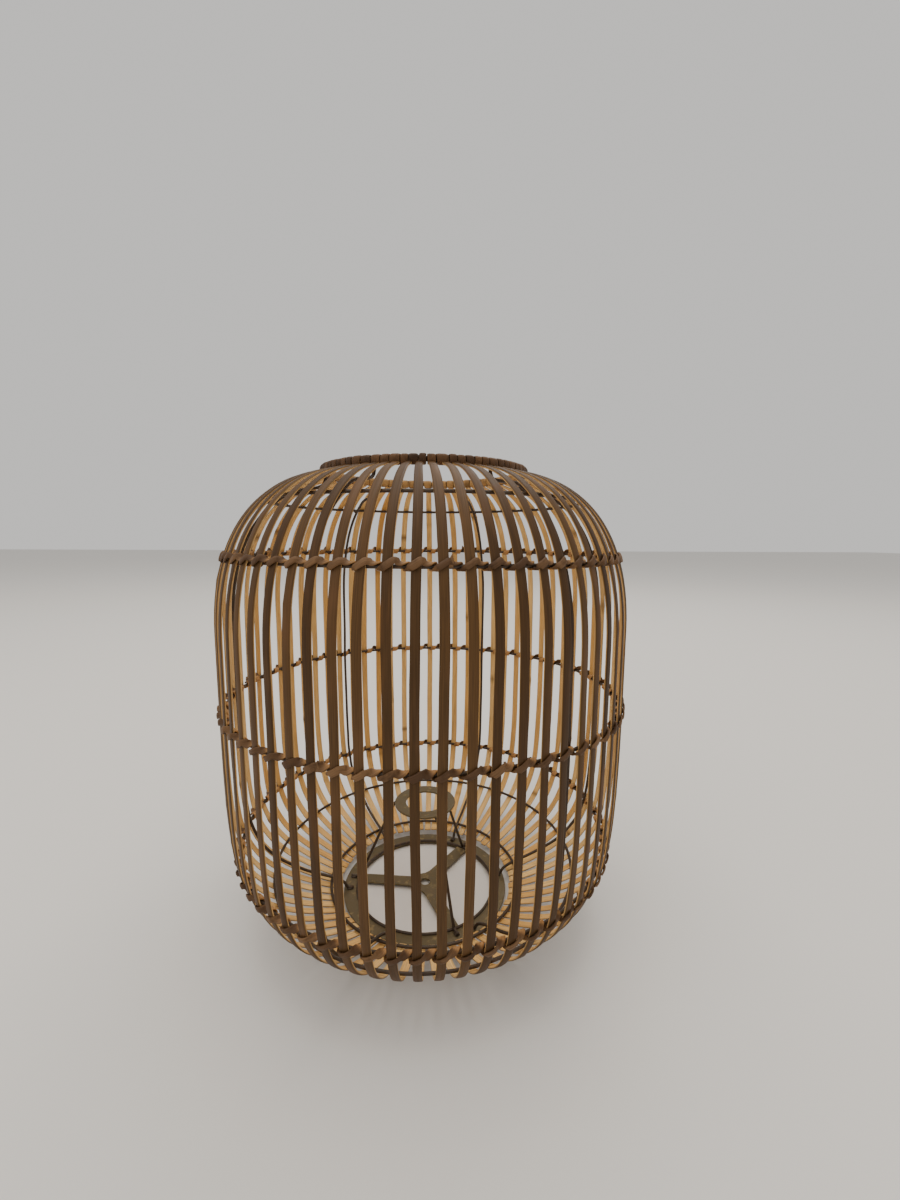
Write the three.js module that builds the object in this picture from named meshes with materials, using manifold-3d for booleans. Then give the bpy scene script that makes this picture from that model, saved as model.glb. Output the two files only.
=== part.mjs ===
// Barrel-shaped lantern shade of split-bamboo slats on a wire frame, with a flat carrier ring and a
// three-armed lampholder fitter in its lower mouth.
// Millimetres, +Z up, origin on the shade's axis at the height of its lowest face. The front is -Y.
import * as THREE from 'three';
import { mergeVertices } from 'three/addons/utils/BufferGeometryUtils.js';
import Module from 'manifold-3d';

const wasm = await Module();
wasm.setup();

// Driving dimensions.
const shadeRadius = 196;
const shadeHeight = 449;
const slatCount = 66;
const slatWidth = 7;
const slatThickness = 1.8;
const wireRadius = 1.5;
const contactGap = 0.3;
const rimHoopRadius = 96;
const rimHoopThickness = 4.4;
const lowerBendRadius = 187;
const lowerBendHeight = 84.5;
const bulgeHeight = 299;
const slatEndRadius = 91;
const slatEndHeight = 8.5;
const slatTongueLength = 8;
const slatTurnThickness = 1.2;
const slatTurnStart = 0.945;
const slatTurnEnd = 0.985;

// Lashed rows: a wire ring inside the slats and a band of flat cane outside them. The places of rows and
// wire rings are shares of the way along a curve of the slat line.
const lashingHeight = 5;
const lashingThickness = 2.6;
const upperRowPlace = 5 / 7;
const middleRowPlace = 1 / 4;
const lowerRowPlace = 1;
const shoulderRingPlace = 0.345;
const bottomRingPlace = 0.5;
const mouthRingPlace = 0.94;

// Carrier ring, spoked plate and lampholder fitter.
const carrierOuterRadius = 88;
const carrierInnerRadius = 74;
const carrierLipThickness = 2;
const carrierFlangeThickness = 1.5;
const carrierTop = 4.5;
const spokeWidth = 14.5;
const spokePlateThickness = 2;
const spokeHubRadius = 14;
const nippleHoleRadius = 5.25;
const spokeAzimuth = 21;
const fitterOuterRadius = 32.5;
const fitterHoleRadius = 20.5;
const fitterThickness = 2.5;
const fitterHeight = 97;
const frameUprightAzimuth = 34;
const frameUprightCount = 6;
const fitterArmCount = 3;

// Facets of the wires along their length and of the flat rings round the axis.
const uprightFacets = 18;
const fitterArmFacets = 12;
const carrierFacets = 42;
const fitterRingFacets = 30;

// Layers, measured inwards from the middle of the slats. A slat is made of straight facets, which cut
// its curve by up to the facet allowance, so whatever lies inside it keeps that much more room.
const facetAllowance = 0.6;
const pairCount = slatCount / 2;
const slatPitch = (2 * Math.PI) / slatCount;
const pairPitch = 2 * slatPitch;
const foldRadius = rimHoopThickness / 2 + contactGap + slatThickness / 2;
const rimHoopHeight = shadeHeight - slatThickness / 2 - foldRadius;
const insideGap = contactGap + facetAllowance;
const wireRingOffset = slatThickness / 2 + insideGap + wireRadius;
const uprightOffset = wireRingOffset + wireRadius + insideGap + wireRadius;
const lashingOffset = -(slatThickness / 2 + contactGap + lashingThickness / 2);
const slatLineRadius = shadeRadius - slatThickness / 2;

const bamboo = new THREE.MeshStandardMaterial({ color: 0x9f7c4e, roughness: 0.62, metalness: 0 });
const cane = new THREE.MeshStandardMaterial({ color: 0x7b5b3b, roughness: 0.7, metalness: 0 });
const blackWire = new THREE.MeshStandardMaterial({ color: 0x1d1b19, roughness: 0.5, metalness: 0.6 });
const olivePlate = new THREE.MeshStandardMaterial({ color: 0x65593f, roughness: 0.45, metalness: 0.6 });

const shade = new THREE.Group();

function point(x, y) {
  return new THREE.Vector2(x, y);
}

function radians(degrees) {
  return (degrees * Math.PI) / 180;
}

// The slat's middle line, in the plane of radius and height, from the rim to the lower mouth. The inner
// handles of the curves set how full the shoulder, the side and the underside are.
const outerLegRadius = rimHoopRadius + foldRadius;
const rimFoot = new THREE.CubicBezierCurve(
  point(outerLegRadius, rimHoopHeight),
  point(outerLegRadius, rimHoopHeight - 3.4),
  point(outerLegRadius + 3.6, rimHoopHeight - 4.6),
  point(outerLegRadius + 9.6, rimHoopHeight - 5.8),
);
const shoulder = new THREE.CubicBezierCurve(
  rimFoot.v3,
  point(outerLegRadius + 54.7, bulgeHeight + 130.5),
  point(slatLineRadius, bulgeHeight + 89.7),
  point(slatLineRadius, bulgeHeight),
);
const side = new THREE.CubicBezierCurve(
  shoulder.v3,
  point(slatLineRadius, bulgeHeight - 105),
  point(lowerBendRadius + 8.2, lowerBendHeight + 27.4),
  point(lowerBendRadius, lowerBendHeight),
);
const underside = new THREE.CubicBezierCurve(
  side.v3,
  point(lowerBendRadius - 11, lowerBendHeight - 37.4),
  point(slatEndRadius + 61, slatEndHeight + 20.3),
  point(slatEndRadius, slatEndHeight),
);

function sampleCurve(curve, count) {
  const samples = [];
  for (let i = 0; i < count; i += 1) {
    const t = (i + 1) / count;
    samples.push({ at: curve.getPoint(t), along: curve.getTangent(t) });
  }
  return samples;
}

// The strip folded over the rim hoop, from the end of its tongue inside the hoop to its outer leg.
function sampleRimFold() {
  const innerLegRadius = rimHoopRadius - foldRadius;
  const samples = [
    { at: point(innerLegRadius, rimHoopHeight - slatTongueLength), along: point(0, 1) },
    { at: point(innerLegRadius, rimHoopHeight), along: point(0, 1) },
  ];
  const steps = 3;
  for (let i = 1; i <= steps; i += 1) {
    const angle = Math.PI * (1 - i / steps);
    const at = point(
      rimHoopRadius + foldRadius * Math.cos(angle),
      rimHoopHeight + foldRadius * Math.sin(angle),
    );
    samples.push({ at, along: point(Math.sin(angle), -Math.cos(angle)) });
  }
  return samples;
}

function slatLine() {
  return [
    ...sampleRimFold(),
    ...sampleCurve(rimFoot, 1),
    ...sampleCurve(shoulder, 7),
    ...sampleCurve(side, 4),
    ...sampleCurve(underside, 4),
  ];
}

// A point on a curve of the slat line, moved towards the inside of the shade by `inwards`.
function besideSlat(curve, t, inwards) {
  const at = curve.getPoint(t);
  const along = curve.getTangent(t);
  return point(at.x + along.y * inwards, at.y - along.x * inwards);
}

function toSolid(geometry) {
  const bare = geometry.clone();
  bare.deleteAttribute('normal');
  bare.deleteAttribute('uv');
  const merged = mergeVertices(bare, 1e-4);
  const mesh = new wasm.Mesh({
    numProp: 3,
    vertProperties: Float32Array.from(merged.attributes.position.array),
    triVerts: Uint32Array.from(merged.index.array),
  });
  return new wasm.Manifold(mesh);
}

function toGeometry(solid) {
  const mesh = solid.getMesh();
  const geometry = new THREE.BufferGeometry();
  geometry.setAttribute('position', new THREE.BufferAttribute(mesh.vertProperties, 3));
  geometry.setIndex(new THREE.BufferAttribute(mesh.triVerts, 1));
  geometry.computeVertexNormals();
  return geometry;
}

// Extrudes an outline drawn in radius and height across the shade, centred on the +X radial plane.
function extrudeAcross(outline, width) {
  const geometry = new THREE.ExtrudeGeometry(outline, { depth: width, bevelEnabled: false });
  geometry.translate(0, 0, -width / 2);
  geometry.rotateX(Math.PI / 2);
  return geometry;
}

function slatGeometry() {
  const line = slatLine();
  const half = slatThickness / 2;
  const outer = line.map(({ at, along }) => point(at.x - along.y * half, at.y + along.x * half));
  const inner = line.map(({ at, along }) => point(at.x + along.y * half, at.y - along.x * half));
  return extrudeAcross(new THREE.Shape([...outer, ...inner.reverse()]), slatWidth);
}

// The strip's turn at the lower mouth, where it comes back as its neighbour.
function slatTurnGeometry() {
  const near = underside.getPoint(slatTurnEnd);
  const far = underside.getPoint(slatTurnStart);
  const length = near.distanceTo(far);
  const turn = new THREE.BoxGeometry(length, slatWidth, slatTurnThickness);
  turn.rotateY(-Math.atan2(far.y - near.y, far.x - near.x));
  turn.translate((near.x + far.x) / 2, 0, (near.y + far.y) / 2);
  return turn;
}

function slatPairGeometry() {
  const left = slatGeometry();
  left.rotateZ(-slatPitch / 2);
  const right = slatGeometry();
  right.rotateZ(slatPitch / 2);
  const pair = toSolid(left).add(toSolid(right)).add(toSolid(slatTurnGeometry()));
  return toGeometry(pair);
}

// Meshes drawn in the +X radial plane are turned to an azimuth counted from the front, towards +X.
function addMesh(name, geometry, material, azimuth = Math.PI / 2) {
  const mesh = new THREE.Mesh(geometry, material);
  mesh.name = name;
  mesh.rotation.z = azimuth - Math.PI / 2;
  shade.add(mesh);
  return mesh;
}

function numbered(name, index) {
  return `${name}_${String(index + 1).padStart(2, '0')}`;
}

// Revolves a closed section, drawn counter-clockwise in radius and height.
function revolve(section, segments) {
  const geometry = new THREE.LatheGeometry([...section, section[0]], segments, -Math.PI / segments);
  geometry.rotateX(Math.PI / 2);
  return geometry;
}

function polygonSection(centre, radius, sides) {
  const section = [];
  for (let i = 0; i < sides; i += 1) {
    const angle = (2 * Math.PI * i) / sides;
    section.push(point(centre.x + radius * Math.cos(angle), centre.y + radius * Math.sin(angle)));
  }
  return section;
}

function boxSection(centre, width, height, tilt = 0) {
  const corners = [
    point(width / 2, -height / 2),
    point(width / 2, height / 2),
    point(-width / 2, height / 2),
    point(-width / 2, -height / 2),
  ];
  return corners.map((corner) => corner.rotateAround(point(0, 0), tilt).add(centre));
}

// A hoop has one straight facet for each pair of slats, so its corners sit a little further out than
// the radius that it keeps where the slats cross it.
function hoopCorner(at) {
  const cornerFactor = Math.cos(slatPitch / 2) / Math.cos(pairPitch / 2);
  return point(at.x * cornerFactor, at.y);
}

function roundHoop(at, radius) {
  return revolve(polygonSection(hoopCorner(at), radius, 6), pairCount);
}

function flatHoop(at, thickness, height, tilt) {
  return revolve(boxSection(hoopCorner(at), thickness, height, tilt), pairCount);
}

// A round wire along points given in radius and height, in the +X radial plane.
function wireGeometry(points, steps) {
  const route = new THREE.CatmullRomCurve3(
    points.map((p) => new THREE.Vector3(p.x, 0, p.y)),
    false,
    'centripetal',
  );
  const section = new THREE.Shape(polygonSection(point(0, 0), wireRadius, 6));
  return new THREE.ExtrudeGeometry(section, { extrudePath: route, steps, bevelEnabled: false });
}

function addSlats() {
  const geometry = slatPairGeometry();
  for (let i = 0; i < pairCount; i += 1) {
    addMesh(numbered('slat_pair', i), geometry, bamboo, i * pairPitch);
  }
}

function addRim() {
  const centre = point(rimHoopRadius, rimHoopHeight);
  addMesh('rim_hoop', roundHoop(centre, rimHoopThickness / 2), cane);
}

function addWireRing(name, curve, t) {
  addMesh(name, roundHoop(besideSlat(curve, t, wireRingOffset), wireRadius), blackWire);
}

function addLashedRow(name, curve, t) {
  addWireRing(`${name}_row_wire_ring`, curve, t);
  const along = curve.getTangent(t);
  const tilt = Math.atan2(along.x, -along.y);
  const lashingAt = besideSlat(curve, t, lashingOffset);
  addMesh(`${name}_row_lashing`, flatHoop(lashingAt, lashingThickness, lashingHeight, tilt), cane);
}

function uprightRoute() {
  const footHeight = carrierTop + contactGap + wireRadius;
  const route = [
    point(rimHoopRadius, rimHoopHeight - rimHoopThickness / 2 - contactGap),
    point(rimHoopRadius + 0.5, rimHoopHeight - 8),
    point(rimHoopRadius + 6, rimHoopHeight - 14.5),
  ];
  for (const t of [0.15, 0.35, 0.55, 0.75, 0.95]) {
    route.push(besideSlat(shoulder, t, uprightOffset));
  }
  for (const t of [0.25, 0.5, 0.75, 0.95]) {
    route.push(besideSlat(side, t, uprightOffset));
  }
  for (const t of [0.12, 0.3, 0.48, 0.66, 0.84, 0.95]) {
    route.push(besideSlat(underside, t, uprightOffset));
  }
  route.push(point(carrierOuterRadius, footHeight + 6));
  route.push(point(carrierOuterRadius - 4, footHeight));
  route.push(point(carrierOuterRadius - 10, footHeight));
  return route;
}

function addWireFrame() {
  addWireRing('shoulder_wire_ring', shoulder, shoulderRingPlace);
  addWireRing('bottom_wire_ring', underside, bottomRingPlace);
  addWireRing('mouth_wire_ring', underside, mouthRingPlace);
  const upright = wireGeometry(uprightRoute(), uprightFacets);
  for (let i = 0; i < frameUprightCount; i += 1) {
    const azimuth = radians(frameUprightAzimuth + (360 * i) / frameUprightCount);
    addMesh(`frame_upright_${i + 1}`, upright, blackWire, azimuth);
  }
}

function carrierSection() {
  const lipOuter = carrierInnerRadius + carrierLipThickness;
  const flangeUnderside = carrierTop - carrierFlangeThickness;
  return [
    point(carrierInnerRadius, 0),
    point(lipOuter, 0),
    point(lipOuter, flangeUnderside),
    point(carrierOuterRadius, flangeUnderside),
    point(carrierOuterRadius, carrierTop),
    point(carrierInnerRadius, carrierTop),
  ];
}

function spokePlateGeometry() {
  const hub = new THREE.CylinderGeometry(spokeHubRadius, spokeHubRadius, spokePlateThickness, 24);
  hub.rotateX(Math.PI / 2);
  const length = carrierInnerRadius - 2 * contactGap;
  let plate = toSolid(hub);
  for (let i = 0; i < fitterArmCount; i += 1) {
    const spoke = new THREE.BoxGeometry(length, spokeWidth, spokePlateThickness);
    spoke.translate(length / 2, 0, 0);
    spoke.rotateZ((2 * Math.PI * i) / fitterArmCount);
    plate = plate.add(toSolid(spoke));
  }
  const hole = new THREE.CylinderGeometry(nippleHoleRadius, nippleHoleRadius, 3 * spokePlateThickness, 24);
  hole.rotateX(Math.PI / 2);
  const geometry = toGeometry(plate.subtract(toSolid(hole)));
  geometry.translate(0, 0, carrierTop - spokePlateThickness / 2);
  return geometry;
}

function addCarrier() {
  addMesh('carrier_ring', revolve(carrierSection(), carrierFacets), olivePlate);
  addMesh('carrier_spoke_plate', spokePlateGeometry(), olivePlate, radians(spokeAzimuth));
}

function fitterArmRoute() {
  const headHeight = fitterHeight - contactGap - wireRadius;
  const footHeight = carrierTop + contactGap + wireRadius;
  return [
    point(fitterHoleRadius + 2.5, headHeight),
    point(fitterOuterRadius - 2, headHeight),
    point(fitterOuterRadius + 5, headHeight - 8),
    point(carrierInnerRadius - 3, footHeight + 6),
    point(carrierInnerRadius + 2.5, footHeight),
    point(carrierInnerRadius + 9, footHeight),
  ];
}

function addFitter() {
  const middle = point((fitterOuterRadius + fitterHoleRadius) / 2, fitterHeight + fitterThickness / 2);
  const width = fitterOuterRadius - fitterHoleRadius;
  addMesh('fitter_ring', revolve(boxSection(middle, width, fitterThickness), fitterRingFacets), olivePlate);
  const arm = wireGeometry(fitterArmRoute(), fitterArmFacets);
  for (let i = 0; i < fitterArmCount; i += 1) {
    const azimuth = radians(spokeAzimuth + (360 * i) / fitterArmCount);
    addMesh(`fitter_arm_${i + 1}`, arm, blackWire, azimuth);
  }
}

addSlats();
addRim();
addLashedRow('upper', shoulder, upperRowPlace);
addLashedRow('middle', side, middleRowPlace);
addLashedRow('lower', side, lowerRowPlace);
addWireFrame();
addCarrier();
addFitter();

export default shade;
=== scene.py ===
"""Bamboo lantern shade: the visible surfaces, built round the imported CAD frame.

Metres, +Z up, the front faces -Y. A place on the shade is given by its azimuth (from the front towards
+X), its radius and its height. Every repeated piece takes its small irregularities from a fixed seed.
"""
import math
import random

import bpy
from mathutils import Matrix, Vector, noise


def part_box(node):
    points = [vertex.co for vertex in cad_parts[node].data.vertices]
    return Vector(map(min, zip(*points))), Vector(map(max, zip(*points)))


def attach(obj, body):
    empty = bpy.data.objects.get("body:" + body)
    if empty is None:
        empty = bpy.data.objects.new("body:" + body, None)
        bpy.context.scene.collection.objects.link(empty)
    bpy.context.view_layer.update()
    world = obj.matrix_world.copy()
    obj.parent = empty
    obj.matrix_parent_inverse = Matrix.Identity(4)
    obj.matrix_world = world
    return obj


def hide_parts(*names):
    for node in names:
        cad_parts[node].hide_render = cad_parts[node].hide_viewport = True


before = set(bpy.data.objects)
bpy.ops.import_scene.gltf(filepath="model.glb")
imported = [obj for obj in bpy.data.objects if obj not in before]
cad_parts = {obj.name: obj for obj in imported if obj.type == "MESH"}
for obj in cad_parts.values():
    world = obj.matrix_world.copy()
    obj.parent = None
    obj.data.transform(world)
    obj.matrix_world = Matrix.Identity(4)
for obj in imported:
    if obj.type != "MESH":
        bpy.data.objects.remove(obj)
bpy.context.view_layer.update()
TAU = 2 * math.pi
MM = 0.001

# Slats. They are thinned where they fold over the rim. Bamboo nodes, where they swell and darken, end at
# the last node distance along them, and each slat's grain starts a grain step after its neighbour's.
SLAT_COUNT = 66
SLAT_SEED = 66
SLAT_PITCH = TAU / SLAT_COUNT
SLAT_WIDTH = 7 * MM
SLAT_THICKNESS = 1.8 * MM
SLAT_TOP_THICKNESS = 0.8 * MM
SLAT_FOLD_GAP = 0.15 * MM
SLAT_TONGUE_DROPS = (2.2 * MM, 1.0 * MM)
LAST_NODE_DISTANCE = 0.62
NODE_SWELLING_REACH = 2.4 * MM
NODE_MARK_REACH = 1.1 * MM
NODE_BULGE = 0.42 * MM
GRAIN_STEP = 1.37
# Heights and radii that drive the line of the slats, as in the CAD model.
SLAT_END_RADIUS = 91 * MM
SLAT_END_HEIGHT = 8.5 * MM
BULGE_HEIGHT = 299 * MM
LOWER_BEND_RADIUS = 187 * MM
LOWER_BEND_HEIGHT = 84.5 * MM
# Across and out, as shares of width and thickness: a flat pith side and a slightly crowned skin side. The
# second list says how much of the skin's colour there is at each of those points.
SLAT_SECTION = (
    (-0.44, -0.50), (0.44, -0.50), (0.495, -0.36), (0.5, 0.10), (0.475, 0.34), (0.28, 0.47),
    (0.0, 0.5), (-0.28, 0.47), (-0.475, 0.34), (-0.5, 0.10), (-0.495, -0.36),
)
SLAT_SKIN = (0.0, 0.0, 0.1, 0.8, 1.0, 1.0, 1.0, 1.0, 1.0, 0.8, 0.1)

# Wires. They rest a contact gap clear of what carries them, as in the CAD model, and rings and uprights
# lie this far inwards of the middle of the slats.
CONTACT_GAP = 0.3 * MM
WIRE_RADIUS = 1.5 * MM
WIRE_SIDES = 12
RING_POINTS = 210
RING_UNEVENNESS = 0.35 * MM
ROW_RING_INWARDS = 3.3 * MM
UPRIGHT_INWARDS = 7.2 * MM
UPRIGHT_COUNT = 6
UPRIGHT_AZIMUTH = math.radians(34)

# Carrier ring, spoked plate and lampholder ring.
SPOKE_COUNT = 3
SPOKE_AZIMUTH = math.radians(21)
SPOKE_WIDTH = 14.5 * MM
HUB_RADIUS = 14 * MM
NIPPLE_RADIUS = 5.25 * MM
LIP_THICKNESS = 2 * MM
FLANGE_THICKNESS = 1.5 * MM

# Lashings: one turn of flat cane for each slat, as share of the pitch, millimetres out from the slat's
# middle and millimetres above the row. It crosses the slat rising to the right, goes over the wire ring
# in the gap, down behind it, and comes out under it beside the next slat. Where it turns in the gap its
# folds spread and look wider.
LASHING_TURN = (
    (-0.19, 1.8, -2.3), (-0.08, 2.35, -1.1), (0.04, 2.45, 0.3), (0.13, 2.3, 1.5), (0.21, 1.7, 2.3),
    (0.31, 0.2, 2.3), (0.42, -1.2, 1.9), (0.53, -2.6, 2.2), (0.62, -4.7, 1.9), (0.67, -5.7, 0.3),
    (0.71, -5.1, -1.6), (0.76, -3.0, -2.5), (0.79, -0.7, -2.6),
)
LASHING_WIDTH = 5.0 * MM
LASHING_THICKNESS = 1.9 * MM
LASHING_STEPS = 3
LASHING_SIDES = 10
GAP_SPREAD = 0.35

# Rim hoop and its binding.
RIM_HOOP_RADIUS = 2.2 * MM
WRAP_COUNT = 76
WRAP_SEED = 76
WRAP_THICKNESS = 1.0 * MM


def radii(node):
    """Distances of a node's corners from the axis."""
    return [math.hypot(v.co.x, v.co.y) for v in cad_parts[node].data.vertices]


def span(node):
    """Greatest distance of a round node from the axis."""
    return max(radii(node))


def middle_height(node):
    low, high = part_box(node)
    return (low.z + high.z) / 2


rim_radius = span("rim_hoop") - RIM_HOOP_RADIUS
rim_height = middle_height("rim_hoop")
sample_pairs = (1, 12, 24)
slat_radius = max(span(f"slat_pair_{i:02d}") for i in sample_pairs) - SLAT_THICKNESS / 2
carrier_outer = span("carrier_ring")
carrier_inner = min(radii("carrier_ring"))
carrier_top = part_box("carrier_ring")[1].z
plate_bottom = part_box("carrier_spoke_plate")[0].z
fitter_outer = span("fitter_ring")
fitter_hole = min(radii("fitter_ring"))
fitter_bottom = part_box("fitter_ring")[0].z
fitter_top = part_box("fitter_ring")[1].z
wire_foot_height = carrier_top + CONTACT_GAP + WIRE_RADIUS


# ---------------------------------------------------------------- lines and frames on the shade

class Bezier:
    """A cubic curve in the plane of radius and height."""

    def __init__(self, *points):
        self.points = [Vector(p) for p in points]

    def at(self, t):
        a, b, c, d = self.points
        s = 1 - t
        return a * s**3 + b * (3 * s * s * t) + c * (3 * s * t * t) + d * t**3

    def along(self, t):
        a, b, c, d = self.points
        s = 1 - t
        return ((b - a) * (s * s) + (c - b) * (2 * s * t) + (d - c) * (t * t)).normalized()

    def beside(self, t, outwards):
        """The point at t moved outwards, and the outward direction there."""
        along = self.along(t)
        out = Vector((-along.y, along.x))
        return self.at(t) + out * outwards, out


def shade_curves():
    """The slat's middle line below the rim, with the CAD model's curve handles."""
    leg = rim_radius + RIM_HOOP_RADIUS + CONTACT_GAP + SLAT_THICKNESS / 2
    foot = Bezier(
        (leg, rim_height),
        (leg, rim_height - 3.4 * MM),
        (leg + 3.6 * MM, rim_height - 4.6 * MM),
        (leg + 9.6 * MM, rim_height - 5.8 * MM),
    )
    shoulder = Bezier(
        foot.points[3],
        (leg + 54.7 * MM, BULGE_HEIGHT + 130.5 * MM),
        (slat_radius, BULGE_HEIGHT + 89.7 * MM),
        (slat_radius, BULGE_HEIGHT),
    )
    side = Bezier(
        shoulder.points[3],
        (slat_radius, BULGE_HEIGHT - 105 * MM),
        (LOWER_BEND_RADIUS + 8.2 * MM, LOWER_BEND_HEIGHT + 27.4 * MM),
        (LOWER_BEND_RADIUS, LOWER_BEND_HEIGHT),
    )
    underside = Bezier(
        side.points[3],
        (LOWER_BEND_RADIUS - 11 * MM, LOWER_BEND_HEIGHT - 37.4 * MM),
        (SLAT_END_RADIUS + 61 * MM, SLAT_END_HEIGHT + 20.3 * MM),
        (SLAT_END_RADIUS, SLAT_END_HEIGHT),
    )
    return foot, shoulder, side, underside


foot, shoulder, side, underside = shade_curves()


def outward(azimuth):
    return Vector((math.sin(azimuth), -math.cos(azimuth), 0))


def sideways(azimuth):
    return Vector((math.cos(azimuth), math.sin(azimuth), 0))


def upwards(height):
    return Vector((0, 0, height))


def place(azimuth, radius, height):
    return outward(azimuth) * radius + upwards(height)


def aimed(azimuth, direction):
    """A direction given in radius and height, turned to an azimuth."""
    return outward(azimuth) * direction.x + upwards(direction.y)


def outward_here(point):
    """Outward direction at a point off the axis."""
    return Vector((point.x, point.y, 0)).normalized()


def superellipse(angle, side_power, rise_power):
    """Cosine and sine of an angle, drawn towards a rectangle by powers below 1."""
    c = math.cos(angle)
    n = math.sin(angle)
    return math.copysign(abs(c) ** side_power, c), math.copysign(abs(n) ** rise_power, n)


def wobble(seed, where):
    """Smooth noise along a line, from about -1 to 1."""
    return noise.noise(Vector((where, seed * 7.31, seed * 1.73)))


def smoothstep(x):
    x = min(1.0, max(0.0, x))
    return x * x * (3 - 2 * x)


def catmull_rom(points, steps, closed=False):
    """Points on a smooth curve through the given points, `steps` for each span."""
    count = len(points)
    spans = count if closed else count - 1
    result = []
    for i in range(spans):
        if closed:
            p = [points[(i + k) % count] for k in (-1, 0, 1, 2)]
        else:
            p = [points[min(count - 1, max(0, i + k))] for k in (-1, 0, 1, 2)]
        for step in range(steps):
            t = step / steps
            result.append(
                0.5 * (2 * p[1] + (p[2] - p[0]) * t + (2 * p[0] - 5 * p[1] + 4 * p[2] - p[3]) * t**2
                       + (3 * p[1] - p[0] - 3 * p[2] + p[3]) * t**3)
            )
    if not closed:
        result.append(points[-1].copy())
    return result


# ---------------------------------------------------------------- mesh building

def no_value(ring_index, point_index):
    return 0.0


class Skin:
    """Collects swept bodies into one mesh, with a map in metres and a few values for its material."""

    def __init__(self, values=()):
        self.verts = []
        self.faces = []
        self.maps = []
        self.values = {name: [] for name in values}

    def add(self, rings, loop=False, values=None, v_start=0.0, domed=0.0):
        """Joins sections of equal size into a closed body. Each value is given for each ring and point."""
        values = values or {}
        size = len(rings[0])
        first = len(self.verts)
        lengths = [v_start]
        centres = [sum(ring, Vector()) / size for ring in rings]
        for a, b in zip(centres, centres[1:]):
            lengths.append(lengths[-1] + (b - a).length)
        girth = [0.0]
        for k in range(size):
            girth.append(girth[-1] + (rings[0][(k + 1) % size] - rings[0][k]).length)
        for i, ring in enumerate(rings):
            self.verts.extend(ring)
            for name in self.values:
                at = values.get(name, no_value)
                self.values[name].extend(at(i, k) for k in range(size))
        spans = len(rings) if loop else len(rings) - 1
        closing = lengths[-1] + (centres[0] - centres[-1]).length
        for i in range(spans):
            j = (i + 1) % len(rings)
            v0 = lengths[i]
            v1 = closing if j == 0 else lengths[j]
            for k in range(size):
                m = (k + 1) % size
                self.faces.append((first + i * size + k, first + i * size + m,
                                   first + j * size + m, first + j * size + k))
                self.maps.append(((girth[k], v0), (girth[k + 1], v0), (girth[k + 1], v1), (girth[k], v1)))
        if not loop:
            self.cap(rings, centres, first, size, lengths, domed, values)

    def cap(self, rings, centres, first, size, lengths, domed, values):
        """Closes the two ends with a fan round a middle point, pushed out by `domed`."""
        last = len(rings) - 1
        ends = ((0, 1, first, True), (last, last - 1, first + last * size, False))
        for ring_index, inner_index, base, at_start in ends:
            push = (centres[ring_index] - centres[inner_index]).normalized() * domed
            tip = len(self.verts)
            self.verts.append(centres[ring_index] + push)
            for name in self.values:
                self.values[name].append(values.get(name, no_value)(ring_index, 0))
            v = lengths[ring_index]
            for k in range(size):
                m = (k + 1) % size
                corners = (base + m, base + k, tip) if at_start else (base + k, base + m, tip)
                self.faces.append(corners)
                self.maps.append(((0, v), (MM, v), (MM / 2, v)))

    def make(self, name, material, stands_for=(), smooth=True):
        """Makes the piece, which rides on the shade's one body and stands for the named CAD nodes."""
        mesh = bpy.data.meshes.new(name)
        mesh.from_pydata([tuple(v) for v in self.verts], [], self.faces)
        layer = mesh.uv_layers.new(name="grain")
        flat = [c for face in self.maps for corner in face for c in corner]
        layer.data.foreach_set("uv", flat)
        for value_name, numbers in self.values.items():
            attribute = mesh.attributes.new(value_name, "FLOAT", "POINT")
            attribute.data.foreach_set("value", numbers)
        mesh.polygons.foreach_set("use_smooth", [smooth] * len(mesh.polygons))
        mesh.update()
        piece = bpy.data.objects.new(name, mesh)
        bpy.context.scene.collection.objects.link(piece)
        mesh.materials.append(material)
        if stands_for:
            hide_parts(*stands_for)
        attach(piece, "root")


def round_rings(path, radius, sides, closed=False):
    """Round sections along a path of points, with as little twist as the path allows."""
    count = len(path)
    rings = []
    normal = None
    for i, centre in enumerate(path):
        if closed:
            along = (path[(i + 1) % count] - path[i - 1]).normalized()
        else:
            along = (path[min(count - 1, i + 1)] - path[max(0, i - 1)]).normalized()
        if normal is None:
            normal = along.orthogonal().normalized()
        normal = (normal - along * normal.dot(along)).normalized()
        across = along.cross(normal)
        rings.append([
            centre + (normal * math.cos(TAU * k / sides) + across * math.sin(TAU * k / sides)) * radius
            for k in range(sides)
        ])
    return rings


def circle_path(radius, height, count, seed=0, out_of_round=0.0):
    """Points round the axis, pushed slightly off a true circle."""
    path = []
    for i in range(count):
        azimuth = TAU * i / count
        there = Vector((math.sin(azimuth), math.cos(azimuth), seed * 3.1)) * 1.3
        uneven = noise.noise(there) * out_of_round
        path.append(place(azimuth, radius + uneven, height + uneven * 0.6))
    return path


# ---------------------------------------------------------------- materials

# Bamboo: the toasted skin side, darkened further by painted shade, the honey pith side, brightened by a
# painted glow as if lit from within, its cut edges, partly a painted highlight, stains and the marks at its
# nodes. Dust lies on the painted metal.
SKIN_SHADED_DARK = (0.034, 0.0152, 0.0047, 1)
SKIN_SHADED_MIDDLE = (0.066, 0.0315, 0.0098, 1)
SKIN_SHADED_PALE = (0.105, 0.0520, 0.0170, 1)
PITH_GLOW_DARK = (0.66, 0.34, 0.090, 1)
PITH_GLOW_MIDDLE = (0.86, 0.51, 0.165, 1)
PITH_GLOW_PALE = (0.93, 0.62, 0.25, 1)
CUT_EDGE_AND_HIGHLIGHT = (0.86, 0.56, 0.26, 1)
STAIN = (0.16, 0.075, 0.03, 1)
NODE_MARK = (0.10, 0.045, 0.018, 1)
DUST = (0.16, 0.13, 0.095, 1)


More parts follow.
